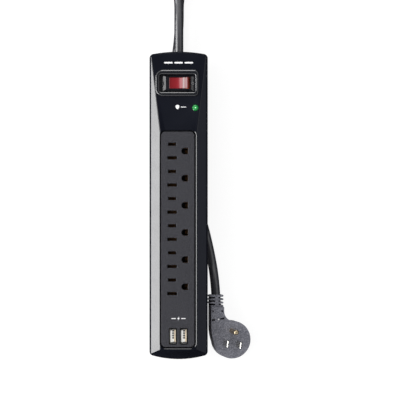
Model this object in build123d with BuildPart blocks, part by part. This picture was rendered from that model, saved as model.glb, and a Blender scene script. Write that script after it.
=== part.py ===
from build123d import *
import os
from math import atan, atan2, cos, degrees, hypot, pi, radians, sin, sqrt, tan

os.makedirs("parts", exist_ok=True)

# ---------------------------------------------------------------- driving dimensions (mm)
HALF_W = 27.4            # half width of the body
Y_TOP, Y_BOT = 144.5, -144.5
R_TOP, R_BOT = 133.0, 91.0   # radii of the bowed ends
R_CORNER = 4.4
Z_BASE = 9.5             # underside of the bottom cover, on top of the feet
Z_PART = 24.0            # joint between the two covers, and the cord's height
Z_TOP = 45.0             # flat top
WALL = 2.2
TOP_HALF = 17.3          # half width of the flat top
BEVEL = 0.75            # fall of the long bevels per mm
RAMP_Y0, RAMP = 68.5, 0.0885   # where the sloping deck starts, and its fall per mm
END_C = -53.5            # centre of the bowed bottom end
END_R, END_SLOPE = 83.1, 1.03

PANEL_HX, PANEL_Y0, PANEL_Y1, PANEL_R = 15.5, -132.4, 68.9, 3.9
PANEL_CX = -0.6         # the panel sits a little to the left of the middle
GROOVE = 1.3
CEIL = 40.6              # flat ceiling of the top cover around the panel

OUTLETS = [50.8, 25.4, 0.0, -25.4, -50.8, -76.2]
SLOT_X, GROUND_X, BLADE_SP = -5.9, 6.0, 6.35
USB_X = [-5.3, 4.9]
USB_Y = -122.4

LED_XY = (15.8, 91.4)
SCREWS = [(sx * 20.4, y) for y in (133.5, 78.0, -25.4, -131.0) for sx in (-1, 1)]
FEET = [(sx * 19.5, y) for y in (118.0, -118.0) for sx in (-1, 1)]
KEYHOLES = [92.0, -108.0]

CORD_R = 4.3
COIL_C, COIL_RO, COIL_RI = (0.0, 285.0), 53.5, 33.0


def deck_z(y):
    return Z_TOP - RAMP * (y - RAMP_Y0)


DECK_A = atan(RAMP)
deck_plane = Plane(origin=(0, 115, deck_z(115)), x_dir=(1, 0, 0), z_dir=(0, sin(DECK_A), cos(DECK_A)))


def outline(inset):
    """Bowed rectangle of the body, moved inwards by inset."""
    hw = HALF_W - inset
    rt, rb = R_TOP - inset, R_BOT - inset
    yt, yb = Y_TOP - inset, Y_BOT + inset
    ct = yt - (rt - sqrt(rt * rt - hw * hw))
    cb = yb + (rb - sqrt(rb * rb - hw * hw))
    with BuildSketch() as sk:
        with BuildLine():
            Line((-hw, cb), (-hw, ct))
            ThreePointArc((-hw, ct), (0, yt), (hw, ct))
            Line((hw, ct), (hw, cb))
            ThreePointArc((hw, cb), (0, yb), (-hw, cb))
        make_face()
        fillet(sk.vertices(), max(R_CORNER - inset, 1.2))
    return sk.sketch


def section(inset, top):
    """Cross-section of the top cover with its two long bevels."""
    hw = HALF_W - inset
    drop = inset / cos(atan(BEVEL))
    zt = Z_TOP - top
    xt = TOP_HALF + (Z_TOP - drop - zt) / BEVEL
    zs = Z_TOP - drop - (hw - TOP_HALF) * BEVEL
    with BuildSketch() as sk:
        with BuildLine():
            Polyline((-hw, 5), (-hw, zs), (-xt, zt), (xt, zt), (hw, zs), (hw, 5), close=True)
        make_face()
        near = [v for v in sk.vertices() if abs(v.Y - zs) < 0.01]
        fillet(near, 4.0 if inset == 0 else 2.0)
    return sk.sketch


def end_tool(inset):
    """What the sloping bottom end takes away, as a ring cut to the end of the body."""
    dr = inset / sin(atan(1 / END_SLOPE)) * 1.0
    r0 = END_R - dr
    with BuildPart() as tool:
        with BuildSketch(Plane(origin=(0, END_C, 0), x_dir=(1, 0, 0), z_dir=(0, -1, 0))):
            with BuildLine():
                Polyline((r0 - 4, Z_TOP + 4 * END_SLOPE), (r0 + 9.2, Z_TOP - 9.2 * END_SLOPE),
                         (r0 + 40, Z_TOP - 9.2 * END_SLOPE), (r0 + 40, Z_TOP + 4 * END_SLOPE), close=True)
            make_face()
        revolve(axis=Axis((0, END_C, 0), (0, 0, 1)))
        with Locations((0, -150, 30)):
            Box(120, 110, 100, mode=Mode.INTERSECT)
    return tool.part


def deck_tool(inset):
    """Wedge above the sloping deck."""
    drop = inset / cos(DECK_A)
    with BuildPart() as tool:
        with BuildSketch(Plane.YZ):
            with BuildLine():
                y0, y1 = 30.0, 170.0
                Polyline((y0, deck_z(y0) - drop), (y1, deck_z(y1) - drop), (y1, 80), (y0, 80), close=True)
            make_face()
        extrude(amount=50, both=True)
    return tool.part


# ---------------------------------------------------------------- covers
outline_out, outline_in = outline(0), outline(WALL)
section_out, section_in = section(0, 0), section(WALL, 2.6)
end_out, end_in = end_tool(0), end_tool(WALL)
deck_out, deck_in = deck_tool(0), deck_tool(2.4)

with BuildPart() as outer_form:
    with BuildSketch(Plane.XY.offset(Z_PART)):
        add(outline_out)
    extrude(amount=Z_TOP - Z_PART)
    with BuildSketch(Plane.XZ):
        add(section_out)
    extrude(amount=200, both=True, mode=Mode.INTERSECT)
    add(end_out, mode=Mode.SUBTRACT)
    add(deck_out, mode=Mode.SUBTRACT)
    top_end = [e for e in outer_form.edges().filter_by(GeomType.BSPLINE, reverse=True)
               if e.center().Y > 141 and e.center().Z > 36 and abs(e.bounding_box().min.Z - e.bounding_box().max.Z) < 2.5
               and e.length > 20]
    if top_end:
        chamfer(top_end, 1.5)
    ridge = [e for e in outer_form.edges() if e.length > 40 and abs(e.center().X) > 16 and abs(e.center().X) < 25
             and e.center().Z > 38.5 and e.bounding_box().max.Y - e.bounding_box().min.Y > 40
             and (e.center().Y > 80 or abs(e.bounding_box().min.Z - e.bounding_box().max.Z) < 0.05 and e.center().Z > 44.9)]
    print("ridges", [(round(e.center().X, 1), round(e.center().Y, 1), round(e.center().Z, 1), round(e.length, 1)) for e in ridge])
    for rad in (1.6, 1.0, 0.6):
        try:
            fillet(ridge, rad)
            print("ridge rounding", rad)
            break
        except Exception as err:
            print("ridge rounding", rad, err)

with BuildPart() as inner_form:
    with BuildSketch(Plane.XY.offset(Z_PART)):
        add(outline_in)
    extrude(amount=Z_TOP - 2.6 - Z_PART)
    with BuildSketch(Plane.XZ):
        add(section_in)
    extrude(amount=200, both=True, mode=Mode.INTERSECT)
    add(end_in, mode=Mode.SUBTRACT)
    add(deck_in, mode=Mode.SUBTRACT)
    # thicker rim all round the panel opening
    with BuildSketch(Plane.XY.offset(CEIL)):
        with Locations((0, (PANEL_Y0 + PANEL_Y1) / 2)):
            Rectangle(60, PANEL_Y1 - PANEL_Y0 + 8)
    extrude(amount=10, mode=Mode.SUBTRACT)

FRAME_X0, FRAME_X1, FRAME_V0, FRAME_V1 = -21.9, 18.9, -12.9, 12.3
STEM_X0, STEM_X1, STEM_V0, STEM_V1 = -18.9, 17.3, -9.6, 9.0


def rect(x0, x1, y0, y1):
    return Pos((x0 + x1) / 2, (y0 + y1) / 2) * Rectangle(x1 - x0, y1 - y0, mode=Mode.PRIVATE)


with BuildPart() as top_cover:
    add(outer_form.part)
    add(inner_form.part, mode=Mode.SUBTRACT)
    # screw pillars, joined to the side walls
    with BuildSketch(Plane.XY.offset(Z_PART)):
        for x, y in SCREWS:
            with Locations((x, y)):
                Circle(3.6)
            with Locations(((x + (25.8 if x > 0 else -25.8)) / 2, y)):
                Rectangle(5.4, 2.4)
    extrude(amount=12)
    # opening for the panel, the dark groove lies between it and the panel
    with BuildSketch(Plane.XY.offset(CEIL - 1)):
        with Locations((PANEL_CX, (PANEL_Y0 + PANEL_Y1) / 2)):
            RectangleRounded(2 * (PANEL_HX + GROOVE), PANEL_Y1 - PANEL_Y0 + 2 * GROOVE, PANEL_R + GROOVE)
    extrude(amount=10, mode=Mode.SUBTRACT)
    for depth, flare in ((0.7, -20), (0.35, -52)):
        with BuildSketch(Plane.XY.offset(Z_TOP - depth)):
            with Locations((PANEL_CX, (PANEL_Y0 + PANEL_Y1) / 2)):
                RectangleRounded(2 * (PANEL_HX + GROOVE) + (0.5 if depth < 0.5 else 0), PANEL_Y1 - PANEL_Y0 + 2 * GROOVE + (0.5 if depth < 0.5 else 0),
                                 PANEL_R + GROOVE)
        extrude(amount=0.9, taper=flare, mode=Mode.SUBTRACT)
    # opening for the switch frame
    with BuildSketch(deck_plane.offset(-8)):
        add(rect(STEM_X0, STEM_X1, STEM_V0, STEM_V1))
    extrude(amount=16, mode=Mode.SUBTRACT)
    # status lens hole, square to the deck
    with BuildSketch(Plane(origin=(LED_XY[0], LED_XY[1], deck_z(LED_XY[1])), x_dir=(1, 0, 0),
                           z_dir=(0, sin(DECK_A), cos(DECK_A))).offset(-5)):
        Circle(2.9)
    extrude(amount=10, mode=Mode.SUBTRACT)
    # pilot holes
    with BuildSketch(Plane.XY.offset(Z_PART)):
        with Locations(*SCREWS):
            Circle(1.5)
    extrude(amount=10, mode=Mode.SUBTRACT)
    # half of the cord entry
    with BuildSketch(Plane.XZ.offset(-150)):
        with Locations((0, Z_PART)):
            Circle(CORD_R + 0.25)
    extrude(amount=12, mode=Mode.SUBTRACT)
top_cover.part.label = "top_cover"

with BuildPart() as bottom_cover:
    with BuildSketch(Plane.XY.offset(Z_BASE)):
        add(outline_out)
    extrude(amount=Z_PART - Z_BASE)
    low = [e for e in bottom_cover.edges() if abs(e.bounding_box().max.Z - Z_BASE) < 0.01]
    chamfer(low, 1.2)
    with BuildSketch(Plane.XY.offset(Z_BASE + 2.4)):
        add(outline_in)
    extrude(amount=20, mode=Mode.SUBTRACT)
    # screw bosses
    with BuildSketch(Plane.XY.offset(Z_BASE)):
        with Locations(*SCREWS):
            Circle(4.6)
    extrude(amount=Z_PART - Z_BASE)
    # pockets behind the keyholes
    with BuildSketch(Plane.XY.offset(Z_BASE + 2)):
        for y in KEYHOLES:
            with Locations((0, y + 3)):
                Rectangle(14, 22)
    extrude(amount=6)
    with BuildSketch(Plane.XY.offset(Z_BASE + 2)):
        for y in KEYHOLES:
            with Locations((0, y + 3)):
                Rectangle(11, 19)
    extrude(amount=4.6, mode=Mode.SUBTRACT)
    with BuildSketch(Plane.XY.offset(Z_BASE - 1)):
        with Locations(*[(0, y) for y in KEYHOLES]):
            Circle(4.2)
        with Locations(*[(0, y + 4) for y in KEYHOLES]):
            Rectangle(4.4, 8)
        with Locations(*[(0, y + 8) for y in KEYHOLES]):
            Circle(2.2)
    extrude(amount=4, mode=Mode.SUBTRACT)
    # counterbores and clearance holes for the housing screws
    with BuildSketch(Plane.XY.offset(Z_BASE - 1)):
        with Locations(*SCREWS):
            Circle(3.1)
    extrude(amount=9.5, mode=Mode.SUBTRACT)
    with BuildSketch(Plane.XY.offset(Z_BASE)):
        with Locations(*SCREWS):
            Circle(1.75)
    extrude(amount=20, mode=Mode.SUBTRACT)
    # holes for the rubber feet
    with BuildSketch(Plane.XY.offset(Z_BASE - 1)):
        with Locations(*FEET):
            Circle(2.5)
    extrude(amount=5, mode=Mode.SUBTRACT)
    # posts under the two boards and ribs under the contact tray
    with BuildSketch(Plane.XY.offset(Z_BASE + 2)):
        with Locations((-13, 67), (13, 67), (-13, 101), (13, 101)):
            Circle(2.0)
    extrude(amount=7.0)
    with BuildSketch(Plane.XY.offset(Z_BASE + 2)):
        with Locations((-11.5, -134.5), (11.5, -134.5), (-11.5, -110), (11.5, -110)):
            Circle(2.0)
    extrude(amount=17.5)
    with BuildSketch(Plane.XY.offset(Z_BASE + 2)):
        with Locations(*[(0, y) for y in (54, 12, -38, -84)]):
            Rectangle(30, 2)
    extrude(amount=13.0)
    # cradle for the cord and half of the cord entry
    with BuildSketch(Plane.XY.offset(Z_BASE + 2)):
        with Locations((0, 134.5)):
            Rectangle(24, 10)
    extrude(amount=Z_PART - Z_BASE - 2)
    with BuildSketch(Plane.XZ.offset(-150)):
        with Locations((0, Z_PART)):
            Circle(CORD_R)
    extrude(amount=24, mode=Mode.SUBTRACT)
    with BuildSketch(Plane.XZ.offset(-150)):
        with Locations((0, Z_PART)):
            Circle(CORD_R + 0.25)
    extrude(amount=10, mode=Mode.SUBTRACT)
    with BuildSketch(Plane.XY.offset(Z_PART)):
        with Locations((-8.5, 134.5), (8.5, 134.5)):
            Circle(1.3)
    extrude(amount=-10, mode=Mode.SUBTRACT)
bottom_cover.part.label = "bottom_cover"

# ---------------------------------------------------------------- outlet panel
with BuildPart() as outlet_panel:
    cy = (PANEL_Y0 + PANEL_Y1) / 2
    ly = PANEL_Y1 - PANEL_Y0
    with BuildSketch(Plane.XY.offset(CEIL - 2)):
        with Locations((PANEL_CX, cy)):
            RectangleRounded(2 * PANEL_HX, ly, PANEL_R)
    extrude(amount=Z_TOP - CEIL + 2)
    top_rim = [e for e in outlet_panel.edges() if abs(e.bounding_box().min.Z - Z_TOP) < 0.01]
    fillet(top_rim, 0.35)
    # flange that holds the panel up against the cover's rim
    with BuildSketch(Plane.XY.offset(CEIL - 2)):
        with Locations((PANEL_CX, cy)):
            RectangleRounded(2 * (PANEL_HX + 2.6), ly + 5.2, PANEL_R + 2.6)
    extrude(amount=2)
    # hollow underside between the outlet wells
    with BuildSketch(Plane.XY.offset(CEIL - 3)):
        with Locations((PANEL_CX, cy)):
            RectangleRounded(2 * PANEL_HX - 3.2, ly - 3.2, 2.4)
        for y in OUTLETS:
            with Locations((0.6, y)):
                Rectangle(22, 19.6, mode=Mode.SUBTRACT)
        with Locations((0, USB_Y)):
            Rectangle(22, 18.4, mode=Mode.SUBTRACT)
    extrude(amount=4.9, mode=Mode.SUBTRACT)
    # blade slots
    with BuildSketch(Plane.XY.offset(CEIL - 3)):
        for y in OUTLETS:
            with Locations((SLOT_X, y + BLADE_SP)):
                Rectangle(7.4, 2.8)
            with Locations((SLOT_X, y - BLADE_SP)):
                Rectangle(8.8, 2.8)
    extrude(amount=10, mode=Mode.SUBTRACT)
    # ground holes: round, with the side away from the slots flattened
    with BuildSketch(Plane.XY.offset(CEIL - 3)):
        for y in OUTLETS:
            with Locations((GROUND_X - 0.1, y)):
                Circle(3.0)
            with Locations((GROUND_X + 1.4, y)):
                Rectangle(3.0, 6.0)
    extrude(amount=10, mode=Mode.SUBTRACT)
    # USB windows
    with BuildSketch(Plane.XY.offset(CEIL - 3)):
        with Locations(*[(x, USB_Y) for x in USB_X]):
            RectangleRounded(7.5, 15.5, 1.2)
    extrude(amount=10, mode=Mode.SUBTRACT)
    mouth = [e for e in outlet_panel.edges()
             if abs(e.bounding_box().min.Z - Z_TOP) < 0.01 and abs(e.center().X) < 13 and e.length < 16
             and -90 < e.center().Y < 62]
    chamfer(mouth, 0.35)
outlet_panel.part.label = "outlet_panel"

# ---------------------------------------------------------------- contacts and bus bars
def clip(x0, x1, y, z0, z1):
    """Two spring leaves standing on a base, for a flat blade."""
    return (Pos((x0 + x1) / 2, y, z0 + 0.4) * Box(x1 - x0, 3.8, 0.8, mode=Mode.PRIVATE)
            + Pos((x0 + x1) / 2, y + 0.95, (z0 + z1) / 2) * Box(x1 - x0, 0.6, z1 - z0, mode=Mode.PRIVATE)
            + Pos((x0 + x1) / 2, y - 0.95, (z0 + z1) / 2) * Box(x1 - x0, 0.6, z1 - z0, mode=Mode.PRIVATE))


Z_BAR = 27.2
with BuildPart() as hot_bus_bar:
    with Locations((-13.0, -11.1, Z_BAR + 0.4)):
        Box(3.0, 148, 0.8)
    for y in OUTLETS:
        with Locations((-10.4, y + BLADE_SP, Z_BAR + 0.4)):
            Box(3.0, 3.8, 0.8)
        add(clip(-9.1, -2.9, y + BLADE_SP, Z_BAR, 35.0))
        add(clip(-5.2, -2.9, y + BLADE_SP, Z_BAR, 37.8))
    with Locations((-13.0, 62.5, Z_BAR - 2.2)):
        Box(3.0, 0.8, 6.0)
hot_bus_bar.part.label = "hot_bus_bar"

with BuildPart() as neutral_bus_bar:
    with Locations((0.0, -11.1, Z_BAR + 0.4)):
        Box(2.6, 148, 0.8)
    for y in OUTLETS:
        with Locations((-2.1, y - BLADE_SP, Z_BAR + 0.4)):
            Box(2.4, 3.8, 0.8)
        add(clip(-9.6, -2.4, y - BLADE_SP, Z_BAR, 35.0))
        add(clip(-5.0, -2.4, y - BLADE_SP, Z_BAR, 37.8))
    with Locations((0.0, 62.5, Z_BAR - 2.2)):
        Box(2.6, 0.8, 6.0)
neutral_bus_bar.part.label = "neutral_bus_bar"

with BuildPart() as ground_bus_bar:
    with Locations((12.6, -11.1, Z_BAR + 0.4)):
        Box(3.0, 148, 0.8)
    for y in OUTLETS:
        with Locations((9.2, y, Z_BAR + 0.4)):
            Box(6.4, 3.0, 0.8)
        with BuildSketch(Plane.XY.offset(Z_BAR)):
            with Locations((GROUND_X + 0.2, y)):
                Rectangle(5.6, 6.4)
            with Locations((GROUND_X - 0.2, y)):
                Rectangle(5.2, 5.2, mode=Mode.SUBTRACT)
        extrude(amount=10.0)
    with Locations((12.6, 62.5, Z_BAR - 2.2)):
        Box(3.0, 0.8, 6.0)
ground_bus_bar.part.label = "ground_bus_bar"

with BuildPart() as contact_tray:
    with Locations((0, -13.0, Z_BAR - 1.35)):
        Box(33.2, 148, 2.7)
    with Locations((-15.8, -13.0, Z_BAR + 1.0)):
        Box(1.6, 148, 2.0)
    with Locations((15.8, -13.0, Z_BAR + 1.0)):
        Box(1.6, 148, 2.0)
contact_tray.part.label = "contact_tray"

# ---------------------------------------------------------------- USB charger
with BuildPart() as usb_board:
    with Locations((0, -122.2, 29.8)):
        Box(28, 29, 1.6)
usb_board.part.label = "usb_board"

with BuildPart() as usb_port_shells:
    for x in USB_X:
        with BuildSketch(Plane.XY.offset(30.6)):
            with Locations((x, USB_Y)):
                RectangleRounded(5.9, 13.6, 0.6)
        extrude(amount=13.8)
        with BuildSketch(Plane.XY.offset(31.8)):
            with Locations((x, USB_Y)):
                RectangleRounded(5.2, 12.8, 0.4)
        extrude(amount=20, mode=Mode.SUBTRACT)
usb_port_shells.part.label = "usb_port_shells"

with BuildPart() as usb_tongues:
    for x in USB_X:
        with BuildSketch(Plane.XY.offset(31.8)):
            with Locations((x, USB_Y)):
                RectangleRounded(5.2, 12.8, 0.4)
        extrude(amount=1.6)
        with Locations((x - 1.6, USB_Y, 38.2)):
            Box(1.9, 11.1, 10.2)
usb_tongues.part.label = "usb_tongues"

with BuildPart() as usb_contacts:
    for x in USB_X:
        for dy in (-3.5, -1.0, 1.0, 3.5):
            with Locations((x - 0.25, USB_Y + dy, 38.0)):
                Box(0.8, 1.1, 8.6)
usb_contacts.part.label = "usb_contacts"

with BuildPart() as usb_transformer:
    with Locations((-4.5, -120.5, 23.6)):
        Box(11, 12, 10.8)
    with Locations((-4.5, -120.5, 23.6)):
        Box(13, 7, 5.4)
usb_transformer.part.label = "usb_transformer"

with BuildPart() as usb_capacitors:
    for x, y in ((6.8, -117.0), (6.8, -127.0)):
        with BuildSketch(Plane.XY.offset(29.0)):
            with Locations((x, y)):
                Circle(3.9)
        extrude(amount=-11)
usb_capacitors.part.label = "usb_capacitors"

# ---------------------------------------------------------------- surge board
with BuildPart() as surge_board:
    with Locations((0, 84, 19.3)):
        Box(30, 40, 1.6)
    with Locations((15.0, 95.5, 19.3)):
        Box(9, 16, 1.6)
surge_board.part.label = "surge_board"

with BuildPart() as surge_varistors:
    for y in (70.0, 77.0, 84.0):
        with BuildSketch(Plane.XZ.offset(-y)):
            with Locations((-6.0, 31.0)):
                Circle(7.0)
        extrude(amount=2.2, both=True)
        for dx in (-3.0, 3.0):
            with Locations((-6.0 + dx, y, 23.0)):
                Box(0.8, 0.8, 5.8)
surge_varistors.part.label = "surge_varistors"

with BuildPart() as thermal_fuse:
    with BuildSketch(Plane.XZ.offset(-66.9)):
        with Locations((8.5, 23.0)):
            Circle(1.9)
    extrude(amount=-10)
    for y in (66.0, 77.8):
        with Locations((8.5, y, 21.9)):
            Box(0.7, 2.2 if y < 70 else 2.2, 3.6)
thermal_fuse.part.label = "thermal_fuse"

with BuildPart() as filter_capacitor:
    with Locations((1.5, 95.5, 26.1)):
        Box(18, 7.5, 12)
    fillet(filter_capacitor.edges().filter_by(Axis.Z), 0.8)
filter_capacitor.part.label = "filter_capacitor"

LED_Z = deck_z(LED_XY[1])
led_plane = Plane(origin=(LED_XY[0], LED_XY[1], LED_Z), x_dir=(1, 0, 0), z_dir=(0, sin(DECK_A), cos(DECK_A)))
with BuildPart() as status_lens:
    with BuildSketch(led_plane.offset(-3.9)):
        Circle(3.3)
    extrude(amount=1.0)
    with BuildSketch(led_plane.offset(-3.9)):
        Circle(2.9)
    extrude(amount=4.3)
    with BuildSketch(led_plane.offset(0.3)):
        Circle(3.0)
    with BuildSketch(led_plane.offset(1.2)):
        Circle(2.1)
    loft()
    fillet(status_lens.faces().sort_by(Axis.Z)[-1].edges(), 0.6)
    with BuildSketch(led_plane.offset(-4.0)):
        Circle(1.9)
    extrude(amount=2.6, mode=Mode.SUBTRACT)
status_lens.part.label = "status_lens"

with BuildPart() as status_led:
    with BuildSketch(Plane.XY.offset(35.2)):
        with Locations(LED_XY):
            Circle(1.9)
    extrude(amount=2.6)
    with Locations((LED_XY[0], LED_XY[1], 37.8)):
        Sphere(1.5)
    for dy in (-0.9, 0.9):
        with Locations((LED_XY[0], LED_XY[1] + dy, 27.7)):
            Box(0.5, 0.5, 15.2)
status_led.part.label = "status_led"

# ---------------------------------------------------------------- rocker switch, built square to the deck
PU = 0.9                # pivot, sideways
PW = -6.0               # pivot, below the deck surface
REST = 9.0              # the on side is pressed by this angle
HALF_L, HALF_B = 9.2, 5.15


def dp(u, w, v=0.0):
    """World position of a point given sideways, square to the deck, and along the deck."""
    return deck_plane.from_local_coords(Vector(u, v, w))


# plane whose drawing is sideways (x) and square to the deck (y), standing at the middle of the rocker
sec_plane = Plane(origin=dp(PU, PW), x_dir=(1, 0, 0), z_dir=(0, -cos(DECK_A), sin(DECK_A)))
a_on = radians(REST)
rock_plane = Plane(origin=dp(PU, PW), x_dir=tuple(sec_plane.x_dir * cos(a_on) + sec_plane.y_dir * sin(a_on)),
                   z_dir=tuple(sec_plane.z_dir))
a_see = radians(-6.0)
see_origin = dp(PU, PW - 7.7)
see_plane = Plane(origin=see_origin, x_dir=tuple(sec_plane.x_dir * cos(a_see) + sec_plane.y_dir * sin(a_see)),
                  z_dir=tuple(sec_plane.z_dir))

with BuildPart() as switch_frame:
    with BuildSketch(deck_plane) as plate:
        add(rect(FRAME_X0, FRAME_X1, FRAME_V0, FRAME_V1))
        fillet([v for v in plate.sketch_local.vertices() if v.X < 0], 7.0)
        fillet([v for v in plate.sketch_local.vertices() if v.X > 18.8], 4.0)
    extrude(amount=1.6)
    rim = [e for e in switch_frame.edges() if abs(deck_plane.to_local_coords(e.center()).Z - 1.6) < 0.01]
    fillet(rim, 1.5)
    with BuildSketch(deck_plane.offset(-3.9)):
        add(rect(STEM_X0, STEM_X1, STEM_V0, STEM_V1))
    extrude(amount=4.0)
switch_frame_blank = switch_frame.part
with BuildPart() as funnel:
    with BuildSketch(deck_plane.offset(-2.6)) as mouth_sk:
        add(rect(-17.8, 15.7, -8.8, 7.8))
        fillet(mouth_sk.sketch_local.vertices(), 1.8)
    extrude(amount=6)
# sloping collar rising out of the pocket around the rocker
with BuildPart() as collar:
    with BuildSketch(deck_plane.offset(-2.8)):
        add(rect(-16.4, 14.7, -8.3, 7.3))
    with BuildSketch(deck_plane.offset(-0.8)):
        add(rect(-12.0, 11.9, -6.2, 6.0))
    loft()
with BuildPart() as switch_frame2:
    add(switch_frame_blank)
    add(funnel.part, mode=Mode.SUBTRACT)
    lip = [e for e in switch_frame2.edges() if abs(deck_plane.to_local_coords(e.center()).Z - 1.6) < 0.01
           and -17.9 < deck_plane.to_local_coords(e.center()).X < 15.8 and -8.9 < deck_plane.to_local_coords(e.center()).Y < 7.9]
    for rad in (1.3, 1.0, 0.6):
        try:
            fillet(lip, rad)
            print("mouth rounding", rad)
            break
        except Exception as err:
            print("mouth rounding", rad, err)
    add(collar.part)
    with BuildSketch(deck_plane.offset(-6)):
        add(rect(PU - 10.25, PU + 10.25, -5.4, 5.4))
    extrude(amount=10, mode=Mode.SUBTRACT)
switch_frame = switch_frame2
switch_frame.part.label = "switch_frame"

with BuildPart() as switch_housing:
    with BuildSketch(deck_plane.offset(-19.6)):
        add(rect(PU - 12.2, PU + 12.2, -7.2, 7.2))
    extrude(amount=15.7)
    with BuildSketch(deck_plane.offset(-18.2)):
        add(rect(PU - 10.8, PU + 10.8, -5.7, 5.7))
    extrude(amount=20, mode=Mode.SUBTRACT)
    # pivot holes
    with BuildSketch(sec_plane):
        Circle(1.2)
    extrude(amount=20, both=True, mode=Mode.SUBTRACT)
    # slots for the terminals
    with BuildSketch(deck_plane.offset(-21)):
        for du in (-7.0, 0.0, 7.0):
            with Locations((PU + du, 0)):
                Rectangle(0.8, 4.8)
    extrude(amount=5, mode=Mode.SUBTRACT)
switch_housing.part.label = "switch_housing"

with BuildPart() as rocker:
    with BuildSketch(rock_plane):
        with BuildLine():
            l1 = Polyline((-HALF_L, 0.6), (-HALF_L, 5.6), (0, 4.4), (HALF_L, 5.6), (HALF_L, 0.6), close=True)
        make_face()
    extrude(amount=HALF_B, both=True)
    top_mid = [e for e in rocker.edges() if abs(rock_plane.to_local_coords(e.center()).X) < 0.1
               and abs(rock_plane.to_local_coords(e.center()).Y - 4.4) < 0.1]
    fillet(top_mid, 8.0)
    rim = [e for e in rocker.edges() if rock_plane.to_local_coords(e.center()).Y > 4.0
           and (abs(abs(rock_plane.to_local_coords(e.center()).X) - HALF_L) < 0.05
                or abs(abs(rock_plane.to_local_coords(e.center()).Z) - HALF_B) < 0.05)]
    fillet(rim, 0.5)
    with BuildSketch(rock_plane):
        with BuildLine():
            Polyline((-HALF_L + 1.3, 0), (-HALF_L + 1.3, 4.1), (0, 3.0), (HALF_L - 1.3, 4.1), (HALF_L - 1.3, 0), close=True)
        make_face()
        Rectangle(5.6, 20, mode=Mode.SUBTRACT)
    extrude(amount=HALF_B - 1.2, both=True, mode=Mode.SUBTRACT)
    with BuildSketch(rock_plane):
        Circle(2.5)
        with Locations((0, 1.6)):
            Rectangle(5.0, 3.2)
    extrude(amount=HALF_B, both=True)
    with BuildSketch(rock_plane):
        Circle(1.25)
    extrude(amount=20, both=True, mode=Mode.SUBTRACT)
rocker.part.label = "rocker"

with BuildPart() as rocker_pin:
    with BuildSketch(sec_plane):
        Circle(1.2)
    extrude(amount=6.9, both=True)
rocker_pin.part.label = "rocker_pin"

with BuildPart() as contact_plunger:
    with BuildSketch(Plane(origin=rock_plane.from_local_coords(Vector(0, -2.5, 0)), x_dir=tuple(rock_plane.x_dir),
                           z_dir=tuple(rock_plane.y_dir * -1))):
        Circle(1.5)
    extrude(amount=4.0)
    fillet(contact_plunger.faces().sort_by(Axis.Z)[0].edges(), 0.6)
with BuildPart() as contact_plunger2:
    add(contact_plunger.part)
    with BuildSketch(rock_plane):
        Circle(2.5)
    extrude(amount=6, both=True, mode=Mode.SUBTRACT)
contact_plunger = contact_plunger2
contact_plunger.part.label = "contact_plunger"

with BuildPart() as plunger_spring:
    tip = Plane(origin=rock_plane.from_local_coords(Vector(0, -4.3, 0)), x_dir=tuple(rock_plane.x_dir),
                z_dir=tuple(rock_plane.y_dir * -1))
    with BuildSketch(tip):
        Circle(2.3)
        Circle(1.5, mode=Mode.SUBTRACT)
    extrude(amount=0.5)
    with BuildSketch(tip.offset(0.8)):
        Circle(2.3)
        Circle(1.5, mode=Mode.SUBTRACT)
    extrude(amount=0.5)
    with BuildSketch(tip.offset(0.4)):
        with Locations((1.9, 0)):
            Rectangle(0.7, 0.9)
    extrude(amount=0.5)
plunger_spring.part.label = "plunger_spring"

with BuildPart() as contact_seesaw:
    with BuildSketch(see_plane):
        with Locations((0, -0.4)):
            Rectangle(14.0, 0.8)
        with Locations((6.2, -1.0)):
            Rectangle(1.6, 0.6)
    extrude(amount=2.0, both=True)
contact_seesaw.part.label = "contact_seesaw"

with BuildPart() as switch_terminals:
    # middle terminal carries the seesaw, the right one has the contact, the left one feeds the lamp
    for du, top in ((-7.0, -17.0), (0.0, PW - 7.7 - 0.95), (7.0, -17.0)):
        h = top + 25.5
        with BuildSketch(deck_plane.offset(-25.5)):
            with Locations((PU + du, 0)):
                Rectangle(0.8, 4.8)
        extrude(amount=h)
    with BuildSketch(deck_plane.offset(-17.0)):
        with Locations((PU + 6.5, 0)):
            Rectangle(2.6, 3.6)
    extrude(amount=0.6)
switch_terminals.part.label = "switch_terminals"

with BuildPart() as neon_lamp:
    with BuildSketch(Plane(origin=dp(PU + 6.6, -10.0, -4.6), x_dir=(1, 0, 0),
                           z_dir=tuple(deck_plane.y_dir))):
        Circle(1.9)
    extrude(amount=9.2)
    fillet(neon_lamp.edges(), 0.8)
neon_lamp.part.label = "neon_lamp"

# ---------------------------------------------------------------- screws, feet, cord clamp
with BuildPart() as housing_screws:
    with BuildSketch(Plane.XY.offset(18.0)):
        with Locations(*SCREWS):
            Circle(1.5)
    extrude(amount=14.5)
    with BuildSketch(Plane.XY.offset(18.0)):
        with Locations(*SCREWS):
            Circle(2.8)
    extrude(amount=-2.0)
    with BuildSketch(Plane.XY.offset(16.0)):
        with Locations(*SCREWS):
            Rectangle(3.2, 0.7)
            Rectangle(0.7, 3.2)
    extrude(amount=1.2, mode=Mode.SUBTRACT)
housing_screws.part.label = "housing_screws"

with BuildPart() as rubber_feet:
    for x, y in FEET:
        with BuildSketch():
            with Locations((x, y)):
                Circle(5.4)
        with BuildSketch(Plane.XY.offset(Z_BASE)):
            with Locations((x, y)):
                Circle(6.5)
        loft()
        with BuildSketch(Plane.XY.offset(Z_BASE)):
            with Locations((x, y)):
                Circle(2.5)
        extrude(amount=2.4)
        with BuildSketch(Plane.XY.offset(Z_BASE + 2.4)):
            with Locations((x, y)):
                Circle(3.3)
        extrude(amount=1.6)
rubber_feet.part.label = "rubber_feet"

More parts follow.
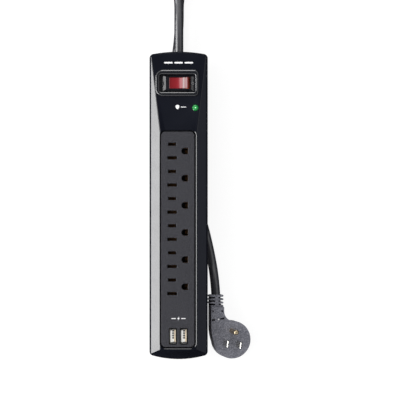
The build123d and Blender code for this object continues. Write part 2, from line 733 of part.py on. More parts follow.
with BuildPart() as cord_clamp:
    with Locations((0, 134.5, Z_PART + 3.2)):
        Box(24, 8, 6.4)
    fillet([e for e in cord_clamp.edges().filter_by(Axis.Y) if e.center().Z > Z_PART + 5], 2.0)
    with BuildSketch(Plane.XZ.offset(-150)):
        with Locations((0, Z_PART)):
            Circle(CORD_R)
    extrude(amount=24, mode=Mode.SUBTRACT)
    with BuildSketch(Plane.XY.offset(Z_PART)):
        with Locations((-8.5, 134.5), (8.5, 134.5)):
            Circle(1.5)
    extrude(amount=10, mode=Mode.SUBTRACT)
cord_clamp.part.label = "cord_clamp"

with BuildPart() as clamp_screws:
    with BuildSketch(Plane.XY.offset(Z_PART + 6.4)):
        with Locations((-8.5, 134.5), (8.5, 134.5)):
            Circle(2.6)
    extrude(amount=1.6)
    with BuildSketch(Plane.XY.offset(Z_PART + 6.4)):
        with Locations((-8.5, 134.5), (8.5, 134.5)):
            Circle(1.3)
    extrude(amount=-15.0)
clamp_screws.part.label = "clamp_screws"


# ---------------------------------------------------------------- round leads and the cord
def radii(pts):
    """Corner radii: nearly half of the shorter neighbouring run at each corner."""
    out = []
    for a, b, c in zip(pts, pts[1:], pts[2:]):
        u, v = Vector(*b) - Vector(*a), Vector(*c) - Vector(*b)
        turn = radians(u.get_angle(v))
        out.append(0.45 * min(u.length, v.length) / tan(turn / 2))
    return out


def tube(pts, r):
    rr = radii(pts)
    wire = FilletPolyline(*pts, radius=rr)
    start = Plane(origin=pts[0], z_dir=tuple(Vector(*pts[1]) - Vector(*pts[0])))
    face = start * Circle(r)
    return sweep(face, path=wire), rr, wire.length


def lead(pts, r=1.3):
    return tube(pts, r)[0]


wire_hot_a = lead([(-2.2, 126.1, 23.6), (-5.0, 123.6, 20.0), (-6.3, 119.0, 14.6), (-6.2, 112.0, 13.6)], 1.2)
wire_hot_b = lead([(7.6, 112.0, 14.0), (9.4, 106.0, 14.4), (9.2, 99.0, 16.4)], 1.2)
wire_hot_c = lead([(-13.0, 63.1, 24.4), (-13.0, 66.2, 23.6), (-12.6, 68.2, 20.8)], 1.0)

rr_all = {}
OUT_PTS = [(0, 127.5, 24.0), (0, 158.0, 24.0), (0, 215.4, 12.9), (-34.79, 250.21, 12.9)]
RET_PTS = [(34.79, 250.21, 4.3), (0, 215.4, 4.3), (0.5, 158.0, 4.3), (-9.5, 110.0, 4.3), (-8.0, 62.0, 4.3),
           (10.0, 20.0, 4.3), (22.6, -14.0, 4.3), (31.0, -50.0, 4.3), (34.6, -74.0, 11.1), (35.3, -88.4, 12.2)]

with BuildPart() as cord_coil:
    with BuildSketch():
        with Locations(COIL_C):
            Circle(COIL_RO)
            Circle(COIL_RI, mode=Mode.SUBTRACT)
    extrude(amount=17.2)
    fillet(cord_coil.edges(), 3.0)
cord_coil.part.label = "cord_coil"

out_tube, rr_out, len_out = tube(OUT_PTS, CORD_R)
ret_tube, rr_ret, len_ret = tube(RET_PTS, CORD_R)
print("cord_out radii", [round(x, 1) for x in rr_out], "length", round(len_out, 1),
      "volume", round(out_tube.volume, 1), "section x length", round(pi * CORD_R ** 2 * len_out, 1))
print("cord_return radii", [round(x, 1) for x in rr_ret], "length", round(len_ret, 1),
      "volume", round(ret_tube.volume, 1), "section x length", round(pi * CORD_R ** 2 * len_ret, 1))

with BuildPart() as cord_out:
    add(out_tube)
cord_out.part.label = "cord_out"

with BuildPart() as cord_return:
    add(ret_tube)
cord_return.part.label = "cord_return"

# ---------------------------------------------------------------- plug, lying with its blades up and leaning to the right
TILT = radians(12.0)
PLUG_R, PLUG_T, NECK_T = 17.9, 13.5, 11.0
PX, PY = 48.0, -128.0
PZ = (PLUG_R + 0.2) * sin(TILT)
plug_plane = Plane(origin=(PX, PY, PZ), x_dir=(cos(TILT), 0, -sin(TILT)), z_dir=(sin(TILT), 0, cos(TILT)))
BL, BR = -20.4, -8.6     # neck edges
PAT = radians(-7.0)      # blade pattern turned on the face
MX, MY = -1.8, -3.4      # point midway between the blades
GX, GY = MX + 11.9 * sin(-PAT), MY + 11.9 * cos(PAT)

with BuildPart() as plug_body:
    with BuildSketch(plug_plane):
        Circle(PLUG_R)
        with BuildLine():
            Line((BL, 31.0), (BL, 15.0))
            ThreePointArc((BL, 15.0), (-18.9, 1.4), (-13.4, -11.87))
            Line((-13.4, -11.87), (0, 0))
            Line((0, 0), (0, PLUG_R))
            ThreePointArc((0, PLUG_R), (-5.2, 20.6), (-7.8, 26.4))
            Line((-7.8, 26.4), (-7.8, 31.0))
            Line((-7.8, 31.0), (BL, 31.0))
        make_face()
    extrude(amount=PLUG_T)
    top_e = [e for e in plug_body.edges() if abs(plug_plane.to_local_coords(e.center()).Z - PLUG_T) < 0.01
             and abs(e.bounding_box().min.Y - e.bounding_box().max.Y) > 0.2]
    for rad in (1.4, 1.0, 0.7):
        try:
            fillet(top_e, rad)
            break
        except Exception as err:
            print("plug edge rounding", rad, err)
    with BuildSketch(plug_plane):
        with BuildLine():
            Polyline((BL, 30.0), (BL, 34.0), (BL + 0.2, 42.8), (BR - 0.1, 42.8), (BR, 34.0), (-8.0, 32.0), (-8.0, 30.0), close=True)
        make_face()
    extrude(amount=NECK_T)
    # ribs of the strain relief, standing a little proud of both sides
    with BuildSketch(plug_plane.offset(1.2)):
        for v in (41.7, 38.4, 35.2):
            with Locations(((BL + BR) / 2, v)):
                Rectangle(BR - BL + 1.6, 1.4)
    extrude(amount=NECK_T - 2.4)
    # bore the cord is moulded into
    add(ret_tube, mode=Mode.SUBTRACT)
    # flex slots of the strain relief
    with BuildSketch(plug_plane.offset(1.5)):
        for v in (40.0, 36.8, 33.6):
            with Locations((BL + 2.1, v), (BR - 1.9, v)):
                Rectangle(4.4, 1.5)
    extrude(amount=20, mode=Mode.SUBTRACT)
    # grip bar and ejector dimples on the face
    with BuildSketch(plug_plane.offset(PLUG_T - 4.5)):
        with Locations(Location((-18.2, 19.0), 8.0)):
            Rectangle(3.0, 1.7)
        with Locations(Location((-9.6, 20.2), 8.0)):
            Rectangle(4.2, 1.7)
        with Locations((-18.6, 27.4), (-9.7, 27.4)):
            Circle(0.95)
    extrude(amount=8, mode=Mode.SUBTRACT)
plug_body.part.label = "plug_body"


def blade(side, width, length):
    c = cos(PAT)
    bx, by = MX + side * 6.35 * cos(-PAT), MY - side * 6.35 * sin(-PAT)
    with BuildPart() as b:
        with BuildSketch(plug_plane.offset(PLUG_T)):
            with Locations(Location((bx, by), degrees(PAT))):
                Rectangle(1.5, width)
        extrude(amount=length)
    with BuildPart() as b2:
        add(b.part)
        far = [e for e in b2.edges() if plug_plane.to_local_coords(e.center()).Z > PLUG_T + length - 0.01]
        chamfer(far, 0.5)
        # small hole through the flat of the blade
        hp = plug_plane.from_local_coords(Vector(bx, by, PLUG_T + length - 4.2))
        xd = plug_plane.x_dir * cos(PAT) + plug_plane.y_dir * sin(PAT)
        with BuildSketch(Plane(origin=hp, z_dir=tuple(xd))):
            Circle(1.5)
        extrude(amount=5, both=True, mode=Mode.SUBTRACT)
    return b2


plug_line_blade = blade(1, 6.35, 17.5)
plug_line_blade.part.label = "plug_line_blade"
plug_neutral_blade = blade(-1, 6.35, 17.5)
plug_neutral_blade.part.label = "plug_neutral_blade"

PIN_L = 20.4
with BuildPart() as plug_ground_pin:
    with BuildSketch(plug_plane.offset(PLUG_T)):
        with Locations((GX, GY)):
            Circle(2.4)
    extrude(amount=PIN_L)
    fillet([e for e in plug_ground_pin.edges() if plug_plane.to_local_coords(e.center()).Z > PLUG_T + PIN_L - 0.01], 1.6)
plug_ground_pin.part.label = "plug_ground_pin"
print("ground pin base", plug_plane.from_local_coords(Vector(GX, GY, PLUG_T)),
      "tip", plug_plane.from_local_coords(Vector(GX, GY, PLUG_T + PIN_L)))
print("rocker pivot", dp(PU, PW), "axis", sec_plane.z_dir, "seesaw pivot", see_origin)
print("led", LED_Z, "deck normal", deck_plane.z_dir)

# ---------------------------------------------------------------- inside wiring, grouped by colour
wire_neutral_a = lead([(0.0, 126.6, 21.4), (0.6, 123.6, 16.9), (1.2, 114.0, 13.6), (0.6, 106.4, 15.6)], 1.2)
wire_neutral_b = lead([(0.0, 63.1, 24.4), (0.0, 66.2, 23.6), (0.3, 68.2, 20.8)], 1.0)
wire_ground_a = lead([(2.4, 126.2, 24.2), (8.0, 123.4, 20.4), (14.6, 115.0, 15.4), (15.6, 105.4, 14.4)], 1.2)
wire_ground_b = lead([(12.6, 63.1, 24.4), (12.6, 66.2, 23.6), (12.9, 68.2, 20.8)], 1.0)

with BuildPart() as wire_hot:
    add(wire_hot_a)
    add(wire_hot_b)
    add(wire_hot_c)
wire_hot.part.label = "wire_hot"

with BuildPart() as wire_neutral:
    add(wire_neutral_a)
    add(wire_neutral_b)
wire_neutral.part.label = "wire_neutral"

with BuildPart() as wire_ground:
    add(wire_ground_a)
    add(wire_ground_b)
wire_ground.part.label = "wire_ground"

ALL = [top_cover, bottom_cover, outlet_panel, hot_bus_bar, neutral_bus_bar, ground_bus_bar, contact_tray,
       usb_board, usb_port_shells, usb_tongues, usb_contacts, usb_transformer, usb_capacitors,
       surge_board, surge_varistors, thermal_fuse, filter_capacitor, status_lens, status_led,
       switch_frame, switch_housing, rocker, rocker_pin, contact_plunger, plunger_spring, contact_seesaw,
       switch_terminals, neon_lamp, housing_screws, rubber_feet, cord_clamp, clamp_screws,
       wire_hot, wire_neutral, wire_ground, cord_out, cord_coil, cord_return,
       plug_body, plug_line_blade, plug_neutral_blade, plug_ground_pin]
for b in ALL:
    bb = b.part.bounding_box()
    print(b.part.label, len(b.part.solids()), round(b.part.volume, 1),
          [round(x, 2) for x in (bb.min.X, bb.min.Y, bb.min.Z, bb.max.X, bb.max.Y, bb.max.Z)])

export_step(top_cover.part, "parts/top_cover.step")
export_step(bottom_cover.part, "parts/bottom_cover.step")
export_step(outlet_panel.part, "parts/outlet_panel.step")
export_step(hot_bus_bar.part, "parts/hot_bus_bar.step")
export_step(neutral_bus_bar.part, "parts/neutral_bus_bar.step")
export_step(ground_bus_bar.part, "parts/ground_bus_bar.step")
export_step(contact_tray.part, "parts/contact_tray.step")
export_step(usb_board.part, "parts/usb_board.step")
export_step(usb_port_shells.part, "parts/usb_port_shells.step")
export_step(usb_tongues.part, "parts/usb_tongues.step")
export_step(usb_contacts.part, "parts/usb_contacts.step")
export_step(usb_transformer.part, "parts/usb_transformer.step")
export_step(usb_capacitors.part, "parts/usb_capacitors.step")
export_step(surge_board.part, "parts/surge_board.step")
export_step(surge_varistors.part, "parts/surge_varistors.step")
export_step(thermal_fuse.part, "parts/thermal_fuse.step")
export_step(filter_capacitor.part, "parts/filter_capacitor.step")
export_step(status_lens.part, "parts/status_lens.step")
export_step(status_led.part, "parts/status_led.step")
export_step(switch_frame.part, "parts/switch_frame.step")
export_step(switch_housing.part, "parts/switch_housing.step")
export_step(rocker.part, "parts/rocker.step")
export_step(rocker_pin.part, "parts/rocker_pin.step")
export_step(contact_plunger.part, "parts/contact_plunger.step")
export_step(plunger_spring.part, "parts/plunger_spring.step")
export_step(contact_seesaw.part, "parts/contact_seesaw.step")
export_step(switch_terminals.part, "parts/switch_terminals.step")
export_step(neon_lamp.part, "parts/neon_lamp.step")
export_step(housing_screws.part, "parts/housing_screws.step")
export_step(rubber_feet.part, "parts/rubber_feet.step")
export_step(cord_clamp.part, "parts/cord_clamp.step")
export_step(clamp_screws.part, "parts/clamp_screws.step")
export_step(wire_hot.part, "parts/wire_hot.step")
export_step(wire_neutral.part, "parts/wire_neutral.step")
export_step(wire_ground.part, "parts/wire_ground.step")
export_step(cord_out.part, "parts/cord_out.step")
export_step(cord_coil.part, "parts/cord_coil.step")
export_step(cord_return.part, "parts/cord_return.step")
export_step(plug_body.part, "parts/plug_body.step")
export_step(plug_line_blade.part, "parts/plug_line_blade.step")
export_step(plug_neutral_blade.part, "parts/plug_neutral_blade.step")
export_step(plug_ground_pin.part, "parts/plug_ground_pin.step")
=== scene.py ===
import math

import bmesh
import bpy
from mathutils import Matrix, Vector


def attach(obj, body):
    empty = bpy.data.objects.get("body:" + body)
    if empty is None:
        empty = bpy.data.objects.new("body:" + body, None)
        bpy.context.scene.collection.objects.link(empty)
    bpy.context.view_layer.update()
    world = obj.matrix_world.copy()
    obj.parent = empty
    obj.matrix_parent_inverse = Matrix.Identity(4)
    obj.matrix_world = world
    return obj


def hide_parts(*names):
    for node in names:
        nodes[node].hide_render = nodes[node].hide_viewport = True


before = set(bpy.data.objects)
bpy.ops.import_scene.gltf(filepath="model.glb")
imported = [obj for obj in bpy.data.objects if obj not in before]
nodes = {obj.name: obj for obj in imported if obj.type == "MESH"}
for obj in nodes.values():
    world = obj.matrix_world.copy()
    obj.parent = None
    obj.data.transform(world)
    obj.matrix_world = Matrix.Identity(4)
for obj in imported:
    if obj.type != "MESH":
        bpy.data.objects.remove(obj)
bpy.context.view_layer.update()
scene = bpy.context.scene
MM = 0.001

# ------------------------------------------------------------------ camera, straight above the strip
CAM_D = 1.5
cam_data = bpy.data.cameras.new("camera")
cam_data.sensor_width = 36.0
cam_data.lens = 36.0 * CAM_D / 0.374
cam_data.clip_start, cam_data.clip_end = 0.05, 20.0
cam = bpy.data.objects.new("camera", cam_data)
cam.location = (0.0201, 0.00505, 0.045 + CAM_D)
scene.collection.objects.link(cam)
scene.camera = cam

# ------------------------------------------------------------------ cord: one smooth line through the route's points
CORD_D = 8.6
route = [(0, 127.5, 24.0), (0, 158.0, 24.0), (0, 215.4, 12.9)]
COIL_C, COIL_R0, COIL_R1 = (0.0, 285.0), 49.2, 37.4
STEP = 20.0
total = 990.0
n_turn = int(round(total / STEP))
for i in range(n_turn + 1):
    a = total * i / n_turn
    if a <= 450:
        r, z = COIL_R0 + (COIL_R1 - COIL_R0) * a / 450, 12.9
    elif a < 540:
        f = (a - 450) / 90
        f = f * f * (3 - 2 * f)
        r, z = COIL_R1, 12.9 + (4.3 - 12.9) * f
    else:
        r, z = COIL_R1 + (COIL_R0 - COIL_R1) * (a - 540) / 450, 4.3
    t = math.radians(225.0 - a)
    k = 1.0 / 0.985
    route.append((COIL_C[0] + r * k * math.cos(t), COIL_C[1] + r * k * math.sin(t), z))
route += [(0, 215.4, 4.3), (0.5, 158.0, 4.3), (-9.5, 110.0, 4.3), (-8.0, 62.0, 4.3),
          (10.0, 20.0, 4.3), (22.6, -14.0, 4.3), (31.0, -50.0, 4.3), (34.6, -74.0, 11.1), (35.3, -88.4, 12.2)]

cd = bpy.data.curves.new("power_cord", "CURVE")
cd.dimensions = "3D"
sp = cd.splines.new("NURBS")
sp.points.add(len(route) - 1)
for p, (x, y, z) in zip(sp.points, route):
    p.co = (x * MM, y * MM, z * MM, 1.0)
    p.radius = CORD_D / 2 * MM
sp.order_u = 3
sp.use_endpoint_u = True
sp.resolution_u = 14
cd.bevel_depth = 1.0
cd.bevel_resolution = 10
cd.use_fill_caps = True
cord = bpy.data.objects.new("power_cord", cd)
scene.collection.objects.link(cord)
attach(cord, "root")
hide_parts("cord_out", "cord_coil", "cord_return")


# ------------------------------------------------------------------ materials
def new_mat(name):
    m = bpy.data.materials.new(name)
    m.use_nodes = True
    nt = m.node_tree
    for n in list(nt.nodes):
        nt.nodes.remove(n)
    out = nt.nodes.new("ShaderNodeOutputMaterial")
    b = nt.nodes.new("ShaderNodeBsdfPrincipled")
    nt.links.new(b.outputs[0], out.inputs[0])
    return m, nt, b


def ramp(nt, stops, interp="LINEAR"):
    r = nt.nodes.new("ShaderNodeValToRGB")
    r.color_ramp.interpolation = interp
    while len(r.color_ramp.elements) < len(stops):
        r.color_ramp.elements.new(0.5)
    for e, (p, c) in zip(r.color_ramp.elements, stops):
        e.position = p
        e.color = (*c, 1) if len(c) == 3 else c
    return r


def noise(nt, coord, scale, detail=3.0, rough=0.55, stretch=None):
    n = nt.nodes.new("ShaderNodeTexNoise")
    n.inputs["Scale"].default_value = scale
    n.inputs["Detail"].default_value = detail
    n.inputs["Roughness"].default_value = rough
    if stretch:
        mp = nt.nodes.new("ShaderNodeMapping")
        mp.inputs["Scale"].default_value = stretch
        nt.links.new(coord, mp.inputs["Vector"])
        nt.links.new(mp.outputs[0], n.inputs["Vector"])
    else:
        nt.links.new(coord, n.inputs["Vector"])
    return n


def surface(name, col, col2=None, rough=(0.3, 0.4), metal=0.0, spec=0.5, coat=0.0, coat_rough=0.05,
            grain=None, fine=None, speck=None, var_scale=60.0, stretch=None, pale_edges=None, emit=None, emit_strength=0.0,
            trans=0.0, ior=1.5):
    """Plastic, rubber or metal: colour drift, uneven roughness, grain, and paler colour on sharp convex edges."""
    m, nt, b = new_mat(name)
    co = nt.nodes.new("ShaderNodeTexCoord").outputs["Object"]
    col2 = col2 or tuple(c * 0.8 for c in col)
    n1 = noise(nt, co, var_scale, 4.0, 0.6, stretch)
    cr = ramp(nt, [(0.3, col), (0.7, col2)])
    nt.links.new(n1.outputs["Fac"], cr.inputs[0])
    colour = cr.outputs[0]
    if speck:
        scale, amount, scol = speck
        ns = noise(nt, co, scale, 2.0, 0.7)
        sr = ramp(nt, [(0.46, (0, 0, 0)), (0.64, (amount,) * 3)])
        nt.links.new(ns.outputs["Fac"], sr.inputs[0])
        mx = nt.nodes.new("ShaderNodeMix")
        mx.data_type = "RGBA"
        nt.links.new(sr.outputs[0], mx.inputs["Factor"])
        nt.links.new(colour, mx.inputs["A"])
        mx.inputs["B"].default_value = (*scol, 1)
        colour = mx.outputs["Result"]
    if pale_edges:
        wcol, wamt = pale_edges
        geo = nt.nodes.new("ShaderNodeNewGeometry")
        wr = ramp(nt, [(0.52, (0, 0, 0)), (0.62, (wamt,) * 3)])
        nt.links.new(geo.outputs["Pointiness"], wr.inputs[0])
        mx = nt.nodes.new("ShaderNodeMix")
        mx.data_type = "RGBA"
        nt.links.new(wr.outputs[0], mx.inputs["Factor"])
        nt.links.new(colour, mx.inputs["A"])
        mx.inputs["B"].default_value = (*wcol, 1)
        colour = mx.outputs["Result"]
    nt.links.new(colour, b.inputs["Base Color"])
    n2 = noise(nt, co, var_scale * 2.3, 5.0, 0.65, stretch)
    mr = nt.nodes.new("ShaderNodeMapRange")
    mr.inputs["From Min"].default_value, mr.inputs["From Max"].default_value = 0.3, 0.7
    mr.inputs["To Min"].default_value, mr.inputs["To Max"].default_value = rough
    nt.links.new(n2.outputs["Fac"], mr.inputs["Value"])
    nt.links.new(mr.outputs[0], b.inputs["Roughness"])
    b.inputs["Metallic"].default_value = metal
    b.inputs["Specular IOR Level"].default_value = spec
    b.inputs["IOR"].default_value = ior
    b.inputs["Coat Weight"].default_value = coat
    b.inputs["Coat Roughness"].default_value = coat_rough
    b.inputs["Transmission Weight"].default_value = trans
    last = None
    for g in (grain, fine):
        if not g:
            continue
        scale, strength, dist = g
        ng = noise(nt, co, scale, 3.0, 0.6, stretch)
        bp = nt.nodes.new("ShaderNodeBump")
        bp.inputs["Strength"].default_value = strength
        bp.inputs["Distance"].default_value = dist
        nt.links.new(ng.outputs["Fac"], bp.inputs["Height"])
        if last:
            nt.links.new(last.outputs[0], bp.inputs["Normal"])
        last = bp
    if last:
        nt.links.new(last.outputs[0], b.inputs["Normal"])
    if emit:
        b.inputs["Emission Color"].default_value = (*emit, 1)
        b.inputs["Emission Strength"].default_value = emit_strength
    return m


gloss_black = surface("gloss_black", (0.0036, 0.0044, 0.0084), (0.0026, 0.0032, 0.0062), rough=(0.11, 0.16), spec=0.5,
                      grain=(900, 0.03, 0.0002), var_scale=35, pale_edges=((0.02, 0.022, 0.03), 0.3))
base_black = surface("base_black", (0.006, 0.0065, 0.008), (0.004, 0.0045, 0.006), rough=(0.38, 0.5), spec=0.4,
                     grain=(1600, 0.25, 0.0003), var_scale=50)
panel_grey = surface("panel_grey", (0.0125, 0.0125, 0.0175), (0.008, 0.008, 0.012), rough=(0.45, 0.6), spec=0.4,
                     grain=(1100, 0.55, 0.0005), fine=(3200, 0.35, 0.0003), speck=(1200, 0.85, (0.046, 0.046, 0.056)), var_scale=40)
bezel_black = surface("bezel_black", (0.0065, 0.0075, 0.011), (0.0045, 0.0052, 0.008), rough=(0.15, 0.22), spec=0.6, coat=0.9, coat_rough=0.14,
                      grain=(1500, 0.01, 0.0001), var_scale=45, pale_edges=((0.04, 0.04, 0.045), 0.35))
# bus-bar brass: darker than bare brass, painted shade for the contacts seen deep in the outlet slots
brass = surface("brass_strip", (0.36, 0.20, 0.09), (0.22, 0.12, 0.05), rough=(0.28, 0.46), metal=1.0, fine=(1400, 0.12, 0.0001),
                var_scale=150, stretch=(1, 0.2, 1))
nickel = surface("nickel_plate", (0.66, 0.65, 0.62), (0.52, 0.51, 0.49), rough=(0.18, 0.34), metal=1.0, fine=(1500, 0.1, 0.0001),
                 var_scale=160, stretch=(1, 1, 0.2))
brass_pin = surface("brass_pin", (0.60, 0.50, 0.34), (0.46, 0.37, 0.24), rough=(0.2, 0.38), metal=1.0, fine=(1500, 0.1, 0.0001),
                    var_scale=160, stretch=(1, 1, 0.2))
steel = surface("zinc_steel", (0.5, 0.5, 0.52), (0.38, 0.38, 0.4), rough=(0.3, 0.5), metal=1.0, fine=(1200, 0.15, 0.0001), var_scale=120)
nylon_grey = surface("nylon_grey", (0.07, 0.07, 0.075), rough=(0.5, 0.65), grain=(1400, 0.2, 0.0002))
nylon_white = surface("nylon_white", (0.84, 0.83, 0.80), (0.76, 0.75, 0.72), rough=(0.35, 0.5), grain=(1400, 0.1, 0.0002))
board_tan = surface("board_tan", (0.34, 0.24, 0.10), (0.25, 0.18, 0.08), rough=(0.5, 0.65), grain=(1200, 0.2, 0.0002), speck=(700, 0.4, (0.12, 0.3, 0.12)))
comp_yellow = surface("wrap_yellow", (0.65, 0.45, 0.07), rough=(0.35, 0.5), grain=(600, 0.15, 0.0002))
comp_blue = surface("epoxy_blue", (0.03, 0.09, 0.32), rough=(0.25, 0.4), grain=(500, 0.2, 0.0003))
comp_dark = surface("sleeve_dark", (0.02, 0.02, 0.024), rough=(0.3, 0.45), grain=(900, 0.15, 0.0002))
rubber = surface("rubber_black", (0.018, 0.018, 0.018), (0.013, 0.013, 0.013), rough=(0.65, 0.8), spec=0.3, grain=(1500, 0.4, 0.0003))
wire_black = surface("wire_black", (0.015, 0.015, 0.015), rough=(0.35, 0.5), grain=(900, 0.1, 0.0002))
wire_green = surface("wire_green", (0.02, 0.16, 0.05), rough=(0.35, 0.5), grain=(900, 0.1, 0.0002))
jacket = surface("cord_jacket", (0.034, 0.034, 0.040), (0.024, 0.024, 0.029), rough=(0.20, 0.28), spec=0.6, coat=0.7, coat_rough=0.15,
                 grain=(1300, 0.10, 0.0003), fine=(380, 0.08, 0.0006), var_scale=80)
plug_grey = surface("plug_grey", (0.160, 0.164, 0.196), (0.118, 0.122, 0.148), rough=(0.38, 0.54), spec=0.5,
                    grain=(800, 0.9, 0.0009), fine=(2200, 0.5, 0.0004), speck=(900, 0.85, (0.29, 0.29, 0.33)), var_scale=60)
# USB contacts: near-black instead of gold, painted shade for contacts that sit in shadow inside the ports
contact_painted_shade = surface("contact_painted_shade", (0.012, 0.010, 0.009), (0.008, 0.007, 0.006), rough=(0.4, 0.55), spec=0.3, var_scale=200)
mark_dark = surface("mark_dark", (0.02, 0.02, 0.022), rough=(0.5, 0.6), grain=(2500, 0.15, 0.0001), var_scale=300)
mark_white = surface("mark_white", (0.78, 0.78, 0.78), (0.70, 0.70, 0.71), rough=(0.45, 0.6), grain=(2500, 0.15, 0.0001), var_scale=300)
mark_grey = surface("mark_grey", (0.30, 0.30, 0.31), (0.24, 0.24, 0.25), rough=(0.45, 0.6), grain=(2500, 0.15, 0.0001), var_scale=300)

# ------------------------------------------------------------------ the switch's own frame
A = math.atan(0.0885)
DECK_O = Vector((0, 115, 45.0 - 0.0885 * (115 - 68.5))) * MM
DX, DN, DV = Vector((1, 0, 0)), Vector((0, math.sin(A), math.cos(A))), Vector((0, math.cos(A), -math.sin(A)))


def deck(u, v, w):
    """Point given sideways, along the deck and square to it, in mm."""
    return DECK_O + (DX * u + DV * v + DN * w) * MM


def deck_z(y):
    return 45.0 - 0.0885 * (y - 68.5)


# red lens: colour ramp along X, with a red glow in the middle, on the side of the raised half, where the lamp shines
# through, and darker on the pressed left half; on top of that, painted light: a painted highlight line at the left
# edge, a bright painted highlight line and a whitish painted reflection band on the raised right half, and painted
# shade on the dark right end. The emission follows the same ramp, so the painted highlights glow too
def red_lens():
    m, nt, b = new_mat("red_lens")
    co = nt.nodes.new("ShaderNodeTexCoord").outputs["Object"]
    sx = nt.nodes.new("ShaderNodeSeparateXYZ")
    nt.links.new(co, sx.inputs[0])
    mr = nt.nodes.new("ShaderNodeMapRange")
    mr.inputs["From Min"].default_value, mr.inputs["From Max"].default_value = -0.009, 0.010
    nt.links.new(sx.outputs["X"], mr.inputs["Value"])
    stops = [(0.0, (0.50, 0.28, 0.28)), (0.022, (0.42, 0.20, 0.20)), (0.04, (0.42, 0.025, 0.035)), (0.30, (0.50, 0.028, 0.042)),
             (0.50, (0.60, 0.055, 0.075)), (0.585, (0.70, 0.13, 0.15)), (0.66, (0.62, 0.17, 0.18)), (0.70, (0.74, 0.48, 0.48)),
             (0.725, (0.94, 0.78, 0.76)), (0.75, (0.70, 0.40, 0.40)), (0.83, (0.58, 0.24, 0.25)), (0.875, (0.70, 0.48, 0.48)),
             (0.895, (0.38, 0.02, 0.02)), (0.93, (0.28, 0.004, 0.006)), (1.0, (0.22, 0.003, 0.005))]
    cr = ramp(nt, [(p, tuple(0.34 * v for v in c)) for p, c in stops])
    nt.links.new(mr.outputs[0], cr.inputs[0])
    n1 = noise(nt, co, 500, 3.0, 0.6)
    mx = nt.nodes.new("ShaderNodeMix")
    mx.data_type = "RGBA"
    mx.blend_type = "MULTIPLY"
    mx.inputs["Factor"].default_value = 0.3
    nt.links.new(cr.outputs[0], mx.inputs["A"])
    nt.links.new(n1.outputs["Color"], mx.inputs["B"])
    nt.links.new(mx.outputs["Result"], b.inputs["Base Color"])
    er = ramp(nt, [(p, tuple(0.19 * v for v in c)) for p, c in stops])
    nt.links.new(mr.outputs[0], er.inputs[0])
    nt.links.new(er.outputs[0], b.inputs["Emission Color"])
    b.inputs["Emission Strength"].default_value = 1.0
    n2 = noise(nt, co, 240, 4.0, 0.6)
    rr = nt.nodes.new("ShaderNodeMapRange")
    rr.inputs["To Min"].default_value, rr.inputs["To Max"].default_value = 0.10, 0.22
    nt.links.new(n2.outputs["Fac"], rr.inputs["Value"])
    nt.links.new(rr.outputs[0], b.inputs["Roughness"])
    b.inputs["Transmission Weight"].default_value = 0.15
    b.inputs["Coat Weight"].default_value = 0.6
    b.inputs["Coat Roughness"].default_value = 0.08
    return m


# LED lens: green glow that fades towards the rim, with a white painted highlight at the centre; the emission follows
# the same ramp, so the painted highlight glows too
def green_lens():
    m, nt, b = new_mat("green_lens")
    co = nt.nodes.new("ShaderNodeTexCoord").outputs["Object"]
    vs = nt.nodes.new("ShaderNodeVectorMath")
    vs.operation = "DISTANCE"
    c = Vector((15.8, 91.4, deck_z(91.4) + 1.0)) * MM
    vs.inputs[1].default_value = c
    nt.links.new(co, vs.inputs[0])
    mr = nt.nodes.new("ShaderNodeMapRange")
    mr.inputs["From Min"].default_value, mr.inputs["From Max"].default_value = 0.0, 0.0034
    nt.links.new(vs.outputs["Value"], mr.inputs["Value"])
    cr = ramp(nt, [(0.0, (0.75, 0.95, 0.80)), (0.12, (0.60, 0.90, 0.66)), (0.2, (0.03, 0.30, 0.07)), (0.6, (0.010, 0.20, 0.04)), (1.0, (0.004, 0.06, 0.013))])
    nt.links.new(mr.outputs[0], cr.inputs[0])
    nt.links.new(cr.outputs[0], b.inputs["Base Color"])
    nt.links.new(cr.outputs[0], b.inputs["Emission Color"])
    b.inputs["Emission Strength"].default_value = 0.25
    n2 = noise(nt, co, 400, 4.0, 0.6)
    rr = nt.nodes.new("ShaderNodeMapRange")
    rr.inputs["To Min"].default_value, rr.inputs["To Max"].default_value = 0.06, 0.16
    nt.links.new(n2.outputs["Fac"], rr.inputs["Value"])
    nt.links.new(rr.outputs[0], b.inputs["Roughness"])
    b.inputs["Transmission Weight"].default_value = 0.1
    b.inputs["Coat Weight"].default_value = 0.5
    return m


RED, GREEN = red_lens(), green_lens()
# port shell: bare metal; every face that faces left is painted beige and not metallic, a painted reflection of the lit
# inner right wall of the port
USB_METAL = surface("port_shell", (0.60, 0.60, 0.60), (0.46, 0.46, 0.46), rough=(0.2, 0.36), metal=1.0, fine=(1500, 0.1, 0.0001), var_scale=160)
_nt = USB_METAL.node_tree
_b = [n for n in _nt.nodes if n.type == "BSDF_PRINCIPLED"][0]
_g = _nt.nodes.new("ShaderNodeNewGeometry")
_s = _nt.nodes.new("ShaderNodeSeparateXYZ")
_nt.links.new(_g.outputs["True Normal"], _s.inputs[0])
_r = ramp(_nt, [(0.0, (1, 1, 1)), (0.5, (1, 1, 1)), (0.55, (0, 0, 0)), (1.0, (0, 0, 0))])
_m = _nt.nodes.new("ShaderNodeMapRange")
_m.inputs["From Min"].default_value, _m.inputs["From Max"].default_value = -1.0, -0.2
_nt.links.new(_s.outputs["X"], _m.inputs["Value"])
_nt.links.new(_m.outputs[0], _r.inputs[0])
_src = _b.inputs["Base Color"].links[0].from_socket
_x = _nt.nodes.new("ShaderNodeMix")
_x.data_type = "RGBA"
_nt.links.new(_r.outputs[0], _x.inputs["Factor"])
_nt.links.new(_src, _x.inputs["A"])
_x.inputs["B"].default_value = (0.50, 0.42, 0.30, 1)
_nt.links.new(_x.outputs["Result"], _b.inputs["Base Color"])
_k = _nt.nodes.new("ShaderNodeMath")
_k.operation = "SUBTRACT"
_k.inputs[0].default_value = 1.0
_nt.links.new(_r.outputs[0], _k.inputs[1])
